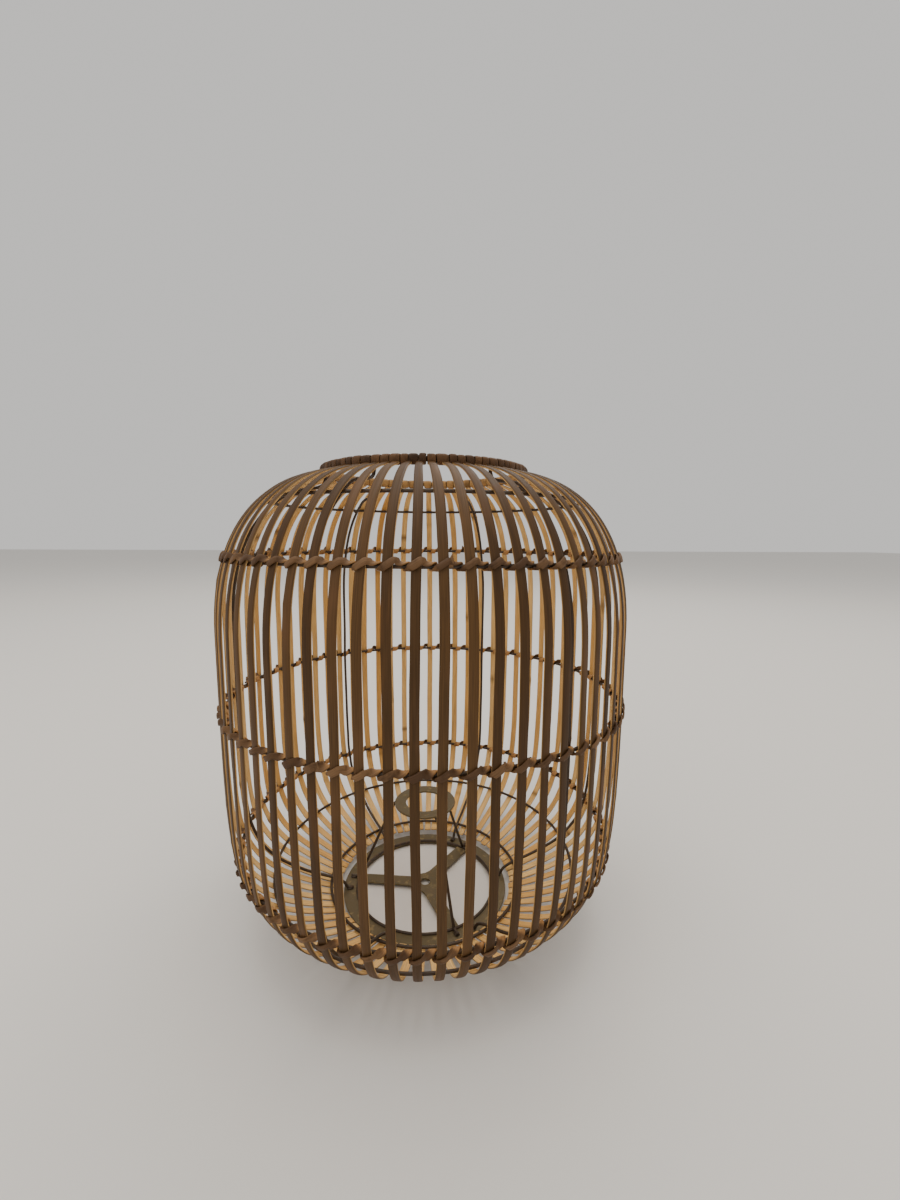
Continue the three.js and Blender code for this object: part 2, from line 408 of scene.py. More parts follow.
class Shader:
    """A material with a Principled shader and short ways to add nodes to it."""

    def __init__(self, name, **settings):
        self.material = bpy.data.materials.new(name)
        self.material.use_nodes = True
        self.tree = self.material.node_tree
        self.surface = self.tree.nodes["Principled BSDF"]
        for socket, value in settings.items():
            self.surface.inputs[socket.replace("_", " ")].default_value = value

    def node(self, kind, inputs=None, **properties):
        made = self.tree.nodes.new(kind)
        for key, value in properties.items():
            setattr(made, key, value)
        for key, value in (inputs or {}).items():
            if isinstance(value, bpy.types.NodeSocket):
                self.tree.links.new(value, made.inputs[key])
            else:
                made.inputs[key].default_value = value
        return made

    def value(self, name):
        """One of the values that a Skin carries."""
        return self.node("ShaderNodeAttribute", attribute_name=name).outputs["Fac"]

    def grain_place(self, scale):
        """A place in the grain map, whose first axis runs across a strip and whose second runs along it."""
        where = self.node("ShaderNodeUVMap", uv_map="grain").outputs[0]
        return self.node("ShaderNodeMapping", {"Vector": where, "Scale": scale}).outputs[0]

    def object_place(self):
        return self.node("ShaderNodeTexCoord").outputs["Object"]

    def noise(self, where, scale, detail=3.0, roughness=0.55):
        inputs = {"Vector": where, "Scale": scale, "Detail": detail, "Roughness": roughness}
        return self.node("ShaderNodeTexNoise", inputs).outputs["Fac"]

    def fit(self, value, low, high, to_low=0.0, to_high=1.0):
        inputs = {"Value": value, "From Min": low, "From Max": high, "To Min": to_low, "To Max": to_high}
        return self.node("ShaderNodeMapRange", inputs).outputs["Result"]

    def math(self, operation, a, b):
        return self.node("ShaderNodeMath", {0: a, 1: b}, operation=operation).outputs[0]

    def mix(self, share, a, b, blend="MIX"):
        """Mixes colours: sockets 6 and 7 of the Mix node take them, and its output 2 gives the result."""
        inputs = {"Factor": share, 6: a, 7: b}
        return self.node("ShaderNodeMix", inputs, data_type="RGBA", blend_type=blend).outputs[2]

    def bump(self, height, strength, distance):
        inputs = {"Height": height, "Strength": strength, "Distance": distance}
        normal = self.node("ShaderNodeBump", inputs).outputs[0]
        self.tree.links.new(normal, self.surface.inputs["Normal"])

    def set(self, socket, value):
        self.tree.links.new(value, self.surface.inputs[socket])


def bamboo_material():
    """Split bamboo: a toasted skin side darkened further by painted shade, a paler honey pith side
    brightened by a painted glow as if lit from within, and pale cut edges that are partly a painted
    highlight, with long fibres.
    """
    s = Shader("split_bamboo", Specular_IOR_Level=0.2)
    fibres = s.noise(s.grain_place((1600, 26, 1)), 1.0, detail=4)
    streaks = s.noise(s.grain_place((420, 7, 1)), 1.0, detail=2)
    blotches = s.noise(s.grain_place((60, 11, 1)), 1.0, detail=3)
    tone = s.value("tone")
    # Painted light: the skin side's colours hold painted shade and the pith side's colours a painted glow,
    # as if a lamp lit the shade from within.
    skin = s.mix(tone, s.mix(streaks, SKIN_SHADED_DARK, SKIN_SHADED_MIDDLE), SKIN_SHADED_PALE)
    lit_pith = s.mix(tone, s.mix(streaks, PITH_GLOW_DARK, PITH_GLOW_MIDDLE), PITH_GLOW_PALE)
    base = s.mix(s.value("skin"), lit_pith, skin)
    # Cut edges: paler split wood, and partly a painted highlight.
    base = s.mix(s.math("MULTIPLY", s.value("edge"), 0.7), base, CUT_EDGE_AND_HIGHLIGHT)
    fibre_dark = s.fit(fibres, 0.38, 0.62, 0.74, 1.06)
    shade = s.node("ShaderNodeCombineColor", {0: fibre_dark, 1: fibre_dark, 2: fibre_dark}).outputs[0]
    base = s.mix(1.0, base, shade, "MULTIPLY")
    base = s.mix(s.fit(blotches, 0.55, 0.75, 0.0, 0.45), base, STAIN)
    base = s.mix(s.math("MULTIPLY", s.value("mark"), 0.75), base, NODE_MARK)
    s.set("Base Color", base)
    s.set("Roughness", s.fit(streaks, 0.3, 0.7, 0.46, 0.66))
    s.bump(s.math("ADD", fibres, s.math("MULTIPLY", streaks, 0.6)), 0.35, 0.00018)
    return s.material


def cane_material(name, dark, pale, painted_glow, edge_dark):
    """Flat cane strand: fine lines along it, darker where it is dirty, and paler towards the shade's middle
    as a painted glow.
    """
    s = Shader(name, Specular_IOR_Level=0.22)
    fibres = s.noise(s.grain_place((2200, 60, 1)), 1.0, detail=3)
    patches = s.noise(s.object_place(), 95.0, detail=3)
    base = s.mix(s.value("tone"), dark, pale)
    # Painted glow: parts facing the shade's middle are mixed towards a bright honey, as if a lamp lit them
    # from within.
    base = s.mix(s.math("MULTIPLY", s.value("painted_glow"), 0.75), base, painted_glow)
    base = s.mix(s.fit(fibres, 0.35, 0.65, 0.45, 0.0), base, edge_dark)
    base = s.mix(s.fit(patches, 0.5, 0.72, 0.0, 0.6), base, edge_dark)
    s.set("Base Color", base)
    s.set("Roughness", s.fit(patches, 0.3, 0.7, 0.45, 0.7))
    s.bump(fibres, 0.5, 0.0002)
    return s.material


def paint_material(name, paint, worn, metallic):
    """Satin paint on metal, a little uneven, rubbed to a browner tone in small patches, with some dust."""
    s = Shader(name, Metallic=metallic, Specular_IOR_Level=0.5)
    orange_peel = s.noise(s.object_place(), 900.0, detail=2)
    wear = s.noise(s.object_place(), 130.0, detail=5, roughness=0.65)
    dust = s.noise(s.object_place(), 28.0, detail=4)
    base = s.mix(s.fit(wear, 0.56, 0.68, 0.0, 0.85), paint, worn)
    base = s.mix(s.fit(dust, 0.45, 0.8, 0.0, 0.3), base, DUST)
    s.set("Base Color", base)
    s.set("Roughness", s.fit(wear, 0.35, 0.7, 0.34, 0.62))
    s.bump(orange_peel, 0.25, 0.00015)
    return s.material


BAMBOO = bamboo_material()
# The bright honey colours given for the parts that face the shade's middle are a painted glow.
LASHING = cane_material(
    "lashing_cane",
    dark=(0.075, 0.036, 0.015, 1),
    pale=(0.215, 0.115, 0.050, 1),
    painted_glow=(0.62, 0.33, 0.12, 1),
    edge_dark=(0.034, 0.016, 0.007, 1),
)
WRAPPING = cane_material(
    "rim_cane",
    dark=(0.062, 0.0285, 0.0105, 1),
    pale=(0.165, 0.080, 0.0310, 1),
    painted_glow=(0.60, 0.33, 0.11, 1),
    edge_dark=(0.022, 0.011, 0.005, 1),
)
# The hoop core is painted near black: painted shade for the gaps between the rim's wraps.
HOOP_CANE_SHADED = cane_material(
    "hoop_cane_painted_shade",
    dark=(0.010, 0.0054, 0.0029, 1),
    pale=(0.018, 0.0098, 0.0052, 1),
    painted_glow=(0.018, 0.0098, 0.0052, 1),
    edge_dark=(0.006, 0.003, 0.0015, 1),
)
WIRE = paint_material("black_wire", (0.042, 0.027, 0.017, 1), (0.115, 0.066, 0.034, 1), 0.35)
PLATE = paint_material("carrier_paint", (0.115, 0.088, 0.042, 1), (0.26, 0.19, 0.08, 1), 0.4)


# ---------------------------------------------------------------- slats

def slat_stations():
    """Middle line of a slat from inside the rim to the mouth: point, outward direction, thickness."""
    stations = []
    fold = RIM_HOOP_RADIUS + SLAT_FOLD_GAP + SLAT_TOP_THICKNESS / 2
    for drop in SLAT_TONGUE_DROPS:
        at = Vector((rim_radius - fold, rim_height - drop))
        stations.append((at, Vector((-1, 0)), SLAT_TOP_THICKNESS))
    fold_steps = 8
    for i in range(fold_steps):
        angle = math.pi * (1 - i / fold_steps)
        out = Vector((math.cos(angle), math.sin(angle)))
        stations.append((Vector((rim_radius, rim_height)) + out * fold, out, SLAT_TOP_THICKNESS))
    foot_steps = 7
    for i in range(foot_steps):
        t = i / foot_steps
        thickness = SLAT_TOP_THICKNESS + (SLAT_THICKNESS - SLAT_TOP_THICKNESS) * smoothstep(t * 1.4)
        at, out = foot.beside(t, -(SLAT_THICKNESS - thickness) / 2)
        stations.append((at, out, thickness))
    for curve, steps in ((shoulder, 26), (side, 32), (underside, 24)):
        for i in range(steps):
            at, out = curve.beside(i / steps, 0)
            stations.append((at, out, SLAT_THICKNESS))
    at, out = underside.beside(1, 0)
    stations.append((at, out, SLAT_THICKNESS))
    return stations


class Slat:
    """What makes one slat differ from the next. Distances run along it from its tongue inside the rim."""

    def __init__(self, index, rng):
        self.index = index
        self.azimuth = SLAT_PITCH * (index - 0.5)
        self.width = SLAT_WIDTH * rng.uniform(0.98, 1.07)
        self.lean = rng.uniform(-0.05, 0.05)
        self.rim_lean = rng.uniform(-0.13, 0.13)
        self.tone = rng.uniform(0.0, 1.0)
        self.twist_degrees = rng.uniform(1.5, 5.5)
        self.nodes = []
        distance = rng.uniform(0.05, 0.24)
        while distance < LAST_NODE_DISTANCE:
            self.nodes.append(distance)
            distance += rng.uniform(0.19, 0.34)
        self.end_trim = rng.uniform(0, 2.0 * MM)

    def near_node(self, distance, reach):
        """From 0 to 1: how close this distance is to a bamboo node."""
        return max((math.exp(-((distance - n) / reach) ** 2) for n in self.nodes), default=0.0)

    def loose_at(self, distance):
        """From 0 where the slat is held, at the rim and at the mouth, to 1 between them."""
        return smoothstep((distance - 0.012) / 0.05) * smoothstep((0.655 - distance) / 0.06)

    def azimuth_at(self, distance, loose):
        """The slat leans a little, leans more at the rim, and wanders between its fixed ends."""
        at_rim = 1 - smoothstep((distance - 0.02) / 0.07)
        wander = 0.085 * loose * wobble(self.index, distance * 5.5)
        ripple = 0.02 * wobble(self.index + 90, distance * 19)
        return self.azimuth + SLAT_PITCH * (self.lean + self.rim_lean * at_rim + wander + ripple)

    def width_at(self, distance, swelling):
        """The slat swells at its nodes and is cut narrower towards the rim."""
        uneven = 1 + 0.035 * wobble(self.index + 500, distance * 14) + 0.045 * swelling
        return self.width * uneven * (0.84 + 0.16 * smoothstep((distance - 0.015) / 0.06))

    def section(self, at, out, thickness, distance):
        """The slat's section where its middle line passes `at`."""
        loose = self.loose_at(distance)
        swelling = self.near_node(distance, NODE_SWELLING_REACH)
        azimuth = self.azimuth_at(distance, loose)
        twist = math.radians(self.twist_degrees * loose * wobble(self.index + 300, distance * 7))
        lift = 0.22 * MM * loose * (1 + wobble(self.index + 900, distance * 6))
        thick = thickness * (1 + 0.05 * wobble(self.index + 700, distance * 12))
        wide = self.width_at(distance, swelling)
        up = aimed(azimuth, out)
        across = sideways(azimuth)
        centre = place(azimuth, at.x, at.y) + up * lift
        turned_across = across * math.cos(twist) + up * math.sin(twist)
        turned_up = up * math.cos(twist) - across * math.sin(twist)
        ring = []
        for a, b in SLAT_SECTION:
            bulge = NODE_BULGE * swelling if b > 0 else 0.0
            ring.append(centre + turned_across * (a * wide) + turned_up * (b * thick + bulge))
        return ring


def make_slat(slat, stations):
    skin = Skin(("tone", "skin", "edge", "mark"))
    rings = []
    marks = []
    distance = 0.0
    last = stations[0][0]
    for at, out, thickness in stations:
        distance += (at - last).length
        last = at
        rings.append(slat.section(at, out, thickness, distance))
        marks.append(slat.near_node(distance, NODE_MARK_REACH))
    trim = (rings[-1][0] - rings[-2][0]).normalized() * slat.end_trim
    rings[-1] = [p - trim for p in rings[-1]]
    skin.add(rings, v_start=slat.index * GRAIN_STEP, domed=0.3 * MM, values={
        "tone": lambda i, k: slat.tone,
        "skin": lambda i, k: SLAT_SKIN[k],
        "edge": lambda i, k: 1.0 if 0 < SLAT_SKIN[k] < 0.5 else 0.0,
        "mark": lambda i, k: marks[i],
    })
    pair = f"slat_pair_{slat.index // 2 + 1:02d}"
    skin.make(f"slat_{slat.index + 1:02d}", BAMBOO, (pair,))


def make_slats():
    rng = random.Random(SLAT_SEED)
    stations = slat_stations()
    for index in range(SLAT_COUNT):
        make_slat(Slat(index, rng), stations)


# ---------------------------------------------------------------- lashed rows

# Name of a row, its curve and its place along it, how far its crossings sit above its ring, how steeply
# they rise, and its seed.
ROWS = (
    ("upper", shoulder, 5 / 7, 0.2 * MM, 1.0, 11),
    ("middle", side, 0.25, 0.8 * MM, 0.9, 12),
    ("lower", side, 1.0, 0.5 * MM, 0.65, 13),
)
# Where cut strand ends stand up out of a row, in slat pitches from the front towards +X, and the shape of
# one: millimetres above the row, millimetres out from the slat's middle, and width in millimetres.
STRAND_ENDS = {"upper": (0.76, 29.8), "middle": (-4.22, 18.3), "lower": (12.8,)}
STRAND_END_LEVELS = (
    (-1.5, 0.2, 4.2), (0.5, 0.5, 4.4), (2.5, 0.9, 4.0), (4.5, 1.2, 2.6), (6.3, 1.3, 1.0), (7.2, 1.3, 0.3),
)
STRAND_END_THICKNESS = 1.1 * MM


def flat_section(centre, across, out, width, thickness):
    """A flat strand's section: rounded edges and a slightly crowned face."""
    ring = []
    for k in range(LASHING_SIDES):
        angle = TAU * (k + 0.5) / LASHING_SIDES
        aside, rise = superellipse(angle, side_power=0.62, rise_power=0.85)
        ring.append(centre + across * (aside * width / 2) + out * (rise * thickness / 2))
    return ring


def on_slat_share(away):
    """From 0 in the gap to 1 on the slat, for millimetres out from the slat's middle."""
    return smoothstep((away + 1.5) / 3)


def lashing_route(middle, out, lift, rise_share, rng):
    """Points of the cane's middle line, and beside each the point that the cane turns its flat side to."""
    upward = Vector((-out.y, out.x))
    path = []
    hub = []
    for turn in range(SLAT_COUNT):
        shift = rng.uniform(-0.03, 0.03)
        raise_by = rng.uniform(-0.35, 0.35) * MM
        reach = rng.uniform(-0.15, 0.3) * MM
        steep = rise_share * rng.uniform(0.88, 1.12)
        for share, away, up in LASHING_TURN:
            azimuth = SLAT_PITCH * (turn - 0.5 + share + shift)
            on_slat = on_slat_share(away)
            rise = up * MM * (1 + (steep - 1) * on_slat) + (raise_by + lift) * on_slat
            flat = middle + out * (away * MM + reach * on_slat) + upward * rise
            path.append(place(azimuth, flat.x, flat.y))
            core = middle - out * ROW_RING_INWARDS + upward * (rise * on_slat)
            hub.append(place(azimuth, core.x, core.y))
    return path, hub


def turn_number(i, ahead=0):
    """The turn of the lashing that point i of its smooth line belongs to."""
    return (i // LASHING_STEPS + ahead) // len(LASHING_TURN) % SLAT_COUNT


def make_row(name, curve, t, lift, rise_share, seed):
    """A wire ring behind the slats and the flat cane that winds round it and each slat in turn.

    The cane's flat side faces the middle of the ring where it hugs it, and the slat where it crosses it.
    """
    rng = random.Random(seed)
    middle, out = curve.beside(t, 0)
    path, hub = lashing_route(middle, out, lift, rise_share, rng)
    line = catmull_rom(path, LASHING_STEPS, closed=True)
    hubs = catmull_rom(hub, LASHING_STEPS, closed=True)
    tones = [rng.random() for _ in range(SLAT_COUNT)]
    widths = [rng.uniform(0.88, 1.16) for _ in range(SLAT_COUNT)]
    half_turn = len(LASHING_TURN) // 2
    rings = []
    for i, centre in enumerate(line):
        along = (line[(i + 1) % len(line)] - line[i - 1]).normalized()
        away = centre - hubs[i]
        away = (away - along * away.dot(along)).normalized()
        across = along.cross(away)
        width = LASHING_WIDTH * (widths[turn_number(i)] + widths[turn_number(i, half_turn)]) / 2
        width *= 1 + 0.09 * wobble(seed, i * 0.21)
        outwards = (Vector((math.hypot(centre.x, centre.y), centre.z)) - middle).dot(out)
        width *= 1 + GAP_SPREAD * (1 - on_slat_share(outwards / MM))
        thickness = LASHING_THICKNESS * (1 + 0.10 * wobble(seed + 5, i * 0.17))
        rings.append(flat_section(centre, across, away, width, thickness))
    # How far each point of the cane faces the shade's middle; those points get the painted glow.
    facing = [(p - core).normalized().dot(outward_here(p)) for p, core in zip(line, hubs)]
    painted_glow = [smoothstep(0.75 - share) for share in facing]
    skin = Skin(("tone", "painted_glow"))
    skin.add(rings, loop=True, values={
        "tone": lambda i, k: tones[turn_number(i)],
        "painted_glow": lambda i, k: painted_glow[i],
    })
    for gap in STRAND_ENDS[name]:
        add_strand_end(skin, SLAT_PITCH * gap, middle, out)
    skin.make(f"{name}_row_cane", LASHING, (f"{name}_row_lashing",))
    ring_at = middle - out * ROW_RING_INWARDS
    make_wire_ring(f"{name}_row_wire", ring_at, seed, f"{name}_row_wire_ring")


def add_strand_end(skin, azimuth, middle, out):
    """The cut, pointed end of a strand, standing up out of its row beside a slat."""
    upward = Vector((-out.y, out.x))
    rings = []
    for up, away, width in STRAND_END_LEVELS:
        flat = middle + out * away * MM + upward * up * MM
        centre = place(azimuth + 0.01 * SLAT_PITCH * up, flat.x, flat.y)
        away_3d = aimed(azimuth, out)
        rings.append(flat_section(centre, sideways(azimuth), away_3d, width * MM, STRAND_END_THICKNESS))
    skin.add(rings, values={"tone": lambda i, k: 1.0})


def make_wire_ring(name, at, seed, *stands_for):
    """A round wire bent round the axis at a radius and height, slightly out of true."""
    path = circle_path(at.x, at.y, RING_POINTS, seed, RING_UNEVENNESS)
    skin = Skin()
    skin.add(round_rings(path, WIRE_RADIUS, WIRE_SIDES, closed=True), loop=True)
    skin.make(name, WIRE, stands_for)


def make_rows():
    for row in ROWS:
        make_row(*row)


# ---------------------------------------------------------------- rim

def make_rim():
    hoop = Skin()
    path = circle_path(rim_radius, rim_height, 160)
    hoop.add(round_rings(path, RIM_HOOP_RADIUS - 0.05 * MM, WIRE_SIDES, closed=True), loop=True)
    hoop.make("rim_hoop_core", HOOP_CANE_SHADED, ("rim_hoop",))
    make_rim_binding()


def make_rim_binding():
    """Short wide turns of cane side by side over the hoop and the slats' folded ends."""
    rng = random.Random(WRAP_SEED)
    shares = [rng.uniform(0.72, 1.25) for _ in range(WRAP_COUNT)]
    whole = sum(shares)
    skin = Skin(("tone", "painted_glow"))
    start = 0.0
    for share in shares:
        azimuth = TAU * (start + share / 2) / whole
        half_angle = TAU * share / whole / 2
        start += share
        add_wrap(skin, azimuth, half_angle * rng.uniform(0.88, 0.975), rng, rng.random())
    skin.make("rim_binding", WRAPPING)


def add_wrap(skin, azimuth, half_angle, rng, tone):
    """One turn of cane round the rim: a crowned strand on a rounded rectangular loop."""
    steps = 26
    points = 12
    skew = rng.uniform(-0.16, 0.16)
    lift = rng.uniform(-0.25, 0.15) * MM
    thickness = WRAP_THICKNESS * rng.uniform(0.85, 1.15)
    outer_reach = 4.25 * MM
    inner_reach = 3.65 * MM
    upper_reach = 3.45 * MM
    lower_reach = 3.9 * MM
    crown = 0.42 * MM
    rings = []
    for step in range(steps):
        angle = TAU * step / steps
        c = math.cos(angle)
        n = math.sin(angle)
        reach = outer_reach if c > 0 else inner_reach
        rise = upper_reach + lift if n > 0 else lower_reach
        out_share, up_share = superellipse(angle, side_power=0.62, rise_power=0.62)
        r = rim_radius + out_share * reach
        z = rim_height + up_share * rise
        out = Vector((c / reach, n / rise)).normalized()
        ring = []
        for k in range(points):
            around = TAU * (k + 0.5) / points
            share, over_share = superellipse(around, side_power=0.5, rise_power=0.8)
            over = over_share * thickness / 2 + crown * (1 - share * share)
            at = azimuth + half_angle * share + skew * half_angle * n
            ring.append(place(at, r + out.x * over, z + out.y * over))
        rings.append(ring)
    skin.add(rings, loop=True, v_start=azimuth, values={
        "tone": lambda i, k: tone,
        # The inner side of each turn gets the painted glow.
        "painted_glow": lambda i, k: smoothstep(-math.cos(TAU * i / steps) * 1.6),
    })


# ---------------------------------------------------------------- wire frame

# Name of a ring, its curve, its place along it and its seed.
FRAME_RINGS = (
    ("shoulder_ring", shoulder, 0.345, 21),
    ("bottom_ring", underside, 0.5, 22),
    ("mouth_ring", underside, 0.94, 23),
)
WELD_SIZE = (5 * MM, 3.4 * MM, 3.4 * MM)
FOOT_WELD_WIDTH = 2.2 * MM
FOOT_WELD_HEIGHT = 2 * MM


def upright_line():
    """Route of a frame wire in radius and height, from under the rim hoop to the carrier ring."""
    points = [
        Vector((rim_radius, rim_height - RIM_HOOP_RADIUS - CONTACT_GAP)),
        Vector((rim_radius + 0.5 * MM, rim_height - 8 * MM)),
        Vector((rim_radius + 6 * MM, rim_height - 14.5 * MM)),
    ]
    stops = (
        (shoulder, (0.15, 0.25, 0.35, 0.45, 0.55, 0.65, 0.75, 0.85, 0.95)),
        (side, (0.12, 0.25, 0.37, 0.5, 0.62, 0.75, 0.85, 0.95)),
        (underside, (0.06, 0.12, 0.21, 0.3, 0.39, 0.48, 0.57, 0.66, 0.75, 0.84, 0.95)),
    )
    for curve, places in stops:
        for t in places:
            points.append(curve.beside(t, -UPRIGHT_INWARDS)[0])
    points.append(Vector((carrier_outer, wire_foot_height + 6 * MM)))
    points.append(Vector((carrier_outer - 4 * MM, wire_foot_height)))
    points.append(Vector((carrier_outer - 10 * MM, wire_foot_height)))
    return points


def make_wire(name, path, *stands_for):
    skin = Skin()
    skin.add(round_rings(path, WIRE_RADIUS, WIRE_SIDES), domed=0.5 * MM)
    skin.make(name, WIRE, stands_for)


def make_uprights():
    """Six wires, each swinging a little to the side between its fixed ends."""
    line = upright_line()
    for number in range(UPRIGHT_COUNT):
        azimuth = UPRIGHT_AZIMUTH + TAU * number / UPRIGHT_COUNT
        points = []
        for i, p in enumerate(line):
            free = smoothstep(i / 6) * smoothstep((len(line) - 1 - i) / 6)
            swing = 0.9 * MM * free * wobble(number + 40, i * 0.5) / max(p.x, 0.05)
            points.append(place(azimuth + swing, p.x, p.y))
        make_wire(f"frame_wire_{number + 1}", catmull_rom(points, 5), f"frame_upright_{number + 1}")


def add_weld(skin, centre, along, out, size, seed):
    """A small lump of weld metal: a squashed ball with an uneven surface."""
    length, width, height = size
    across = along.cross(out)
    rings = []
    steps = 9
    for i in range(steps):
        share = (i + 0.5) / steps * 2 - 1
        round_off = math.sqrt(1 - share * share)
        ring = []
        for k in range(WIRE_SIDES):
            angle = TAU * k / WIRE_SIDES
            uneven = 1 + 0.16 * noise.noise(Vector((share * 2.1, angle, seed)))
            ring.append(
                centre + along * (share * length / 2)
                + across * (math.cos(angle) * round_off * uneven * width / 2)
                + out * (math.sin(angle) * round_off * uneven * height / 2)
            )
        rings.append(ring)
    skin.add(rings, domed=0.1 * MM)


def crossing_welds(azimuth):
    """Welds where one frame wire crosses the rings: centre, direction, outward direction and size."""
    shoulder_ring, bottom_ring, _ = FRAME_RINGS
    welds = []
    for _, curve, t, *_ in (shoulder_ring, bottom_ring, *ROWS):
        at, out = curve.beside(t, -(ROW_RING_INWARDS + UPRIGHT_INWARDS) / 2)
        welds.append((place(azimuth, at.x, at.y), sideways(azimuth), aimed(azimuth, out), WELD_SIZE))
    return welds


def foot_welds(azimuth, inwards, length):
    """The two welds beside a wire's foot on the carrier ring."""
    foot = place(azimuth, carrier_outer - inwards, carrier_top + 0.7 * MM)
    size = (length, FOOT_WELD_WIDTH, FOOT_WELD_HEIGHT)
    welds = []
    for aside in (-WIRE_RADIUS, WIRE_RADIUS):
        welds.append((foot + sideways(azimuth) * aside, outward(azimuth), upwards(1), size))
    return welds


def make_welds():
    """Welds where the wires cross the rings and where they stand on the carrier ring."""
    welds = []
    for number in range(UPRIGHT_COUNT):
        azimuth = UPRIGHT_AZIMUTH + TAU * number / UPRIGHT_COUNT
        welds += crossing_welds(azimuth) + foot_welds(azimuth, 6.5 * MM, 7 * MM)
    for number in range(SPOKE_COUNT):
        azimuth = SPOKE_AZIMUTH + TAU * number / SPOKE_COUNT
        welds += foot_welds(azimuth, 7.5 * MM, 6 * MM)
    skin = Skin()
    for number, weld in enumerate(welds):
        add_weld(skin, *weld, seed=number * 1.7)
    skin.make("frame_welds", WIRE)


def make_frame():
    for name, curve, t, seed in FRAME_RINGS:
        make_wire_ring(name, curve.beside(t, -ROW_RING_INWARDS)[0], seed, name.replace("ring", "wire_ring"))
    make_uprights()
    make_welds()


# ---------------------------------------------------------------- carrier and fitter

def rounded_profile(corners, radius, steps=3):
    """A closed outline with each corner rounded, as points in radius and height."""
    outline = []
    count = len(corners)
    for i, corner in enumerate(corners):
        before = corners[i - 1] - corner
        after = corners[(i + 1) % count] - corner
        reach = min(radius, before.length / 2.2, after.length / 2.2)
        a = corner + before.normalized() * reach
        b = corner + after.normalized() * reach
        for k in range(steps + 1):
            t = k / steps
            outline.append(a * (1 - t) ** 2 + corner * (2 * t * (1 - t)) + b * t**2)
    return outline


def make_turned(name, outline, count, node, seed):
    """Turns a closed outline of radius and height round the axis, very slightly out of true."""
    rings = []
    for i in range(count):
        azimuth = TAU * i / count
        there = Vector((math.sin(azimuth), math.cos(azimuth), seed)) * 1.1
        uneven = noise.noise(there) * 0.15 * MM
        rings.append([place(azimuth, p.x + uneven, p.y) for p in outline])
    skin = Skin()
    skin.add(rings, loop=True)
    skin.make(name, PLATE, (node,))


def make_carrier_ring():
    """The flat ring with its downturned lip, and a black wire ring along its inner edge that is painted
    shade for the shaded side of the lip.
    """
    flange_bottom = carrier_top - FLANGE_THICKNESS
    corners = [
        Vector((carrier_inner, 0)),
        Vector((carrier_inner + LIP_THICKNESS, 0)),
        Vector((carrier_inner + LIP_THICKNESS, flange_bottom)),
        Vector((carrier_outer, flange_bottom)),
        Vector((carrier_outer, carrier_top)),
        Vector((carrier_inner, carrier_top)),
    ]
    make_turned("carrier_flange", rounded_profile(corners, 0.5 * MM), 180, "carrier_ring", 3.3)
    # Painted shade: a black wire ring along the inner edge stands in for the lip's shaded side.
    shade_line_at = Vector((carrier_inner - 0.3 * MM, carrier_top + 0.2 * MM))
    make_wire_ring("carrier_edge_shade_line", shade_line_at, 24)


def plate_outline(length):
    """Outline of the three-armed plate: straight arms with rounded ends, joined by arcs of the hub."""
    half = SPOKE_WIDTH / 2
    fillet = 5 * MM
    root = math.sqrt(HUB_RADIUS**2 - half**2)
    fillet_angle = math.atan2(half, root) + math.radians(9)
    hub_points = 7
    between = TAU / SPOKE_COUNT - 2 * fillet_angle
    arm_side = ((root + fillet, half), (length, half - 0.8 * MM), (length + 0.5 * MM, half - 2 * MM))
    arm = [(out, -aside) for out, aside in arm_side] + list(reversed(arm_side))
    points = []
    for i in range(SPOKE_COUNT):
        turn = SPOKE_AZIMUTH + TAU * i / SPOKE_COUNT
        for out, aside in arm:
            points.append(outward(turn) * out + sideways(turn) * aside)
        for k in range(hub_points):
            angle = turn + fillet_angle + between * k / (hub_points - 1)
            points.append(outward(angle) * (HUB_RADIUS + 0.2 * MM))
    return points


def make_spoke_plate():
    """The plate is cut from sheet: its outline and hole are skinned top and bottom with rounded edges."""
    outline = plate_outline(carrier_inner - 1.1 * MM)
    bevel = 0.35 * MM
    count = len(outline)
    rings = []
    for i, edge in enumerate(outline):
        along = (outline[(i + 1) % count] - outline[i - 1]).normalized()
        step = Vector((-along.y, along.x, 0)) * bevel
        hole = edge.normalized() * NIPPLE_RADIUS
        rings.append([
            hole + upwards(plate_bottom),
            edge + step + upwards(plate_bottom),
            edge + upwards(plate_bottom + bevel),
            edge + upwards(carrier_top - bevel),
            edge + step + upwards(carrier_top),
            hole + upwards(carrier_top),
        ])
    skin = Skin()
    skin.add(rings, loop=True)
    skin.make("spoke_plate", PLATE, ("carrier_spoke_plate",), smooth=False)


def fitter_arm_line():
    """Route of an arm in radius and height, from under the lampholder ring to the carrier ring."""
    head_height = fitter_bottom - CONTACT_GAP - WIRE_RADIUS
    return [
        Vector((fitter_hole + 2.5 * MM, head_height)),
        Vector((fitter_outer - 2 * MM, head_height)),
        Vector((fitter_outer + 5 * MM, head_height - 8 * MM)),
        Vector((carrier_inner - 3 * MM, wire_foot_height + 6 * MM)),
        Vector((carrier_inner + 2.5 * MM, wire_foot_height)),
        Vector((carrier_inner + 9 * MM, wire_foot_height)),
    ]


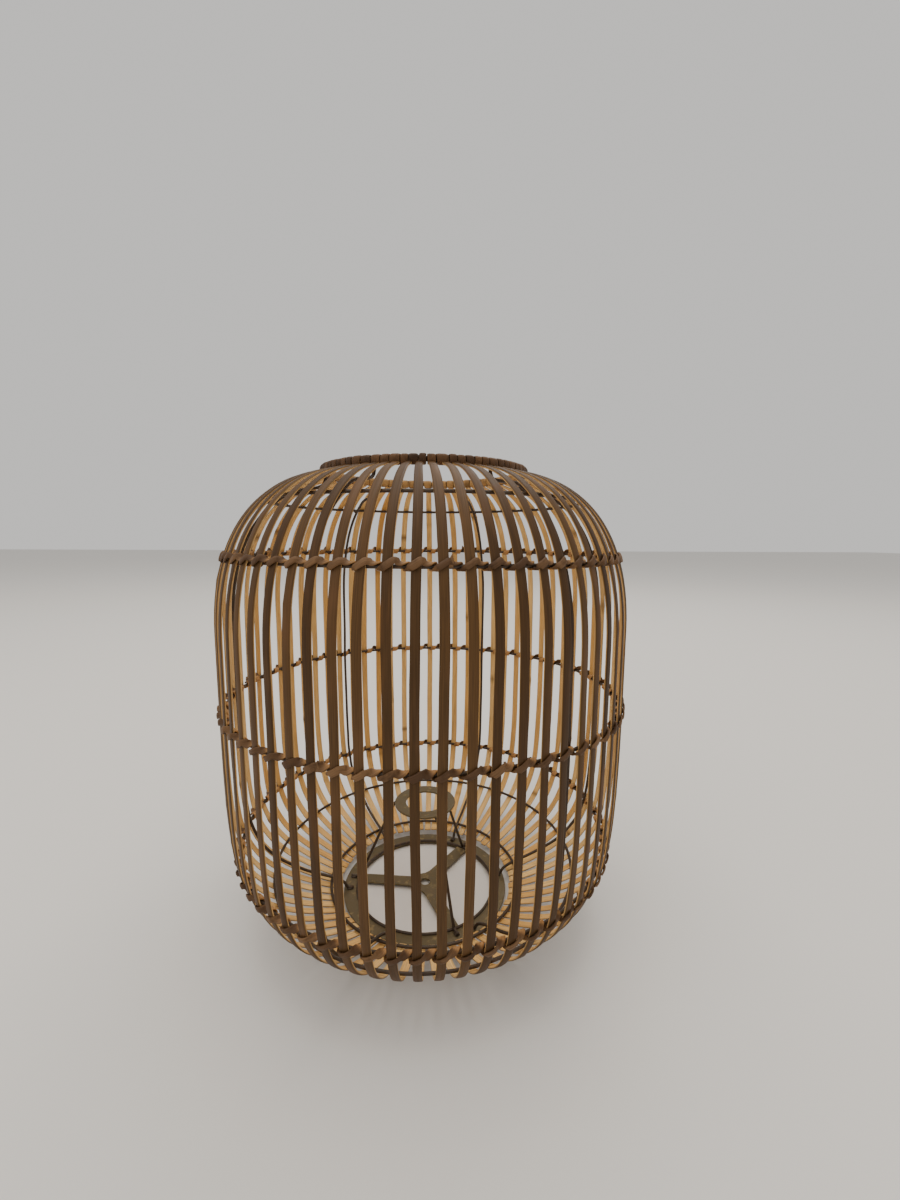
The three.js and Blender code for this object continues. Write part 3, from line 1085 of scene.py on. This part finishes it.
def make_fitter():
    corners = [
        Vector((fitter_hole, fitter_bottom)),
        Vector((fitter_outer, fitter_bottom)),
        Vector((fitter_outer, fitter_top)),
        Vector((fitter_hole, fitter_top)),
    ]
    make_turned("lampholder_ring", rounded_profile(corners, 1.1 * MM, steps=4), 96, "fitter_ring", 5.1)
    line = fitter_arm_line()
    for number in range(SPOKE_COUNT):
        azimuth = SPOKE_AZIMUTH + TAU * number / SPOKE_COUNT
        path = catmull_rom([place(azimuth, p.x, p.y) for p in line], 9)
        make_wire(f"lampholder_arm_{number + 1}", path, f"fitter_arm_{number + 1}")


# ---------------------------------------------------------------- stage, lights and camera

def make_stage():
    """A large plain pale floor; the even world light behind it has nearly its brightness."""
    half = 14.0
    corners = [(-half, -half, 0), (half, -half, 0), (half, half, 0), (-half, half, 0)]
    mesh = bpy.data.meshes.new("studio_floor")
    mesh.from_pydata(corners, [], [(0, 1, 2, 3)])
    floor = bpy.data.objects.new("studio_floor", mesh)
    bpy.context.scene.collection.objects.link(floor)
    mesh.materials.append(Shader("studio_floor", Base_Color=(0.70, 0.68, 0.65, 1), Roughness=0.9).material)


def area_light(name, place_at, target, size, power, colour):
    data = bpy.data.lights.new(name, "AREA")
    data.shape = "RECTANGLE"
    data.size, data.size_y = size
    data.energy = power
    data.color = colour
    light = bpy.data.objects.new(name, data)
    light.location = place_at
    light.rotation_euler = (Vector(target) - Vector(place_at)).to_track_quat("-Z", "Y").to_euler()
    bpy.context.scene.collection.objects.link(light)


def make_lights():
    middle = (0, 0, 0.2)
    area_light("top_softbox", (0.0, 0.3, 4.6), middle, (4.5, 4.5), 150, (1.0, 0.94, 0.85))
    area_light("key_softbox", (-1.9, -1.6, 2.4), middle, (1.8, 1.8), 14, (1.0, 0.96, 0.91))
    area_light("back_softbox", (1.2, 2.0, 2.6), middle, (1.8, 1.2), 14, (1.0, 0.94, 0.86))
    world = bpy.data.worlds.new("studio")
    world.use_nodes = True
    background = world.node_tree.nodes["Background"]
    background.inputs["Color"].default_value = (1.0, 0.98, 0.95, 1)
    background.inputs["Strength"].default_value = 0.72
    bpy.context.scene.world = world


def make_camera():
    """A camera close in front, a little below the rim's height, tilted slightly down."""
    data = bpy.data.cameras.new("camera")
    data.sensor_fit = "AUTO"
    data.sensor_width = 36
    data.lens = 14.79
    camera = bpy.data.objects.new("camera", data)
    bpy.context.scene.collection.objects.link(camera)
    bpy.context.scene.camera = camera
    distance, height = 0.503, 0.382
    azimuth, yaw, pitch, roll = (math.radians(a) for a in (-0.93, 3.87, 7.2, 0.3))
    level = Vector((math.sin(yaw), math.cos(yaw), 0))
    right = Vector((math.cos(yaw), -math.sin(yaw), 0))
    up = Vector((0, 0, 1))
    forward = level * math.cos(pitch) - up * math.sin(pitch)
    tilted_up = up * math.cos(pitch) + level * math.sin(pitch)
    x_axis = right * math.cos(roll) + tilted_up * math.sin(roll)
    y_axis = tilted_up * math.cos(roll) - right * math.sin(roll)
    placed = Matrix((x_axis, y_axis, -forward)).transposed().to_4x4()
    placed.translation = place(azimuth, distance, height)
    camera.matrix_world = placed


make_camera()
make_slats()
make_rows()
make_rim()
make_frame()
make_carrier_ring()
make_spoke_plate()
make_fitter()
make_stage()
make_lights()
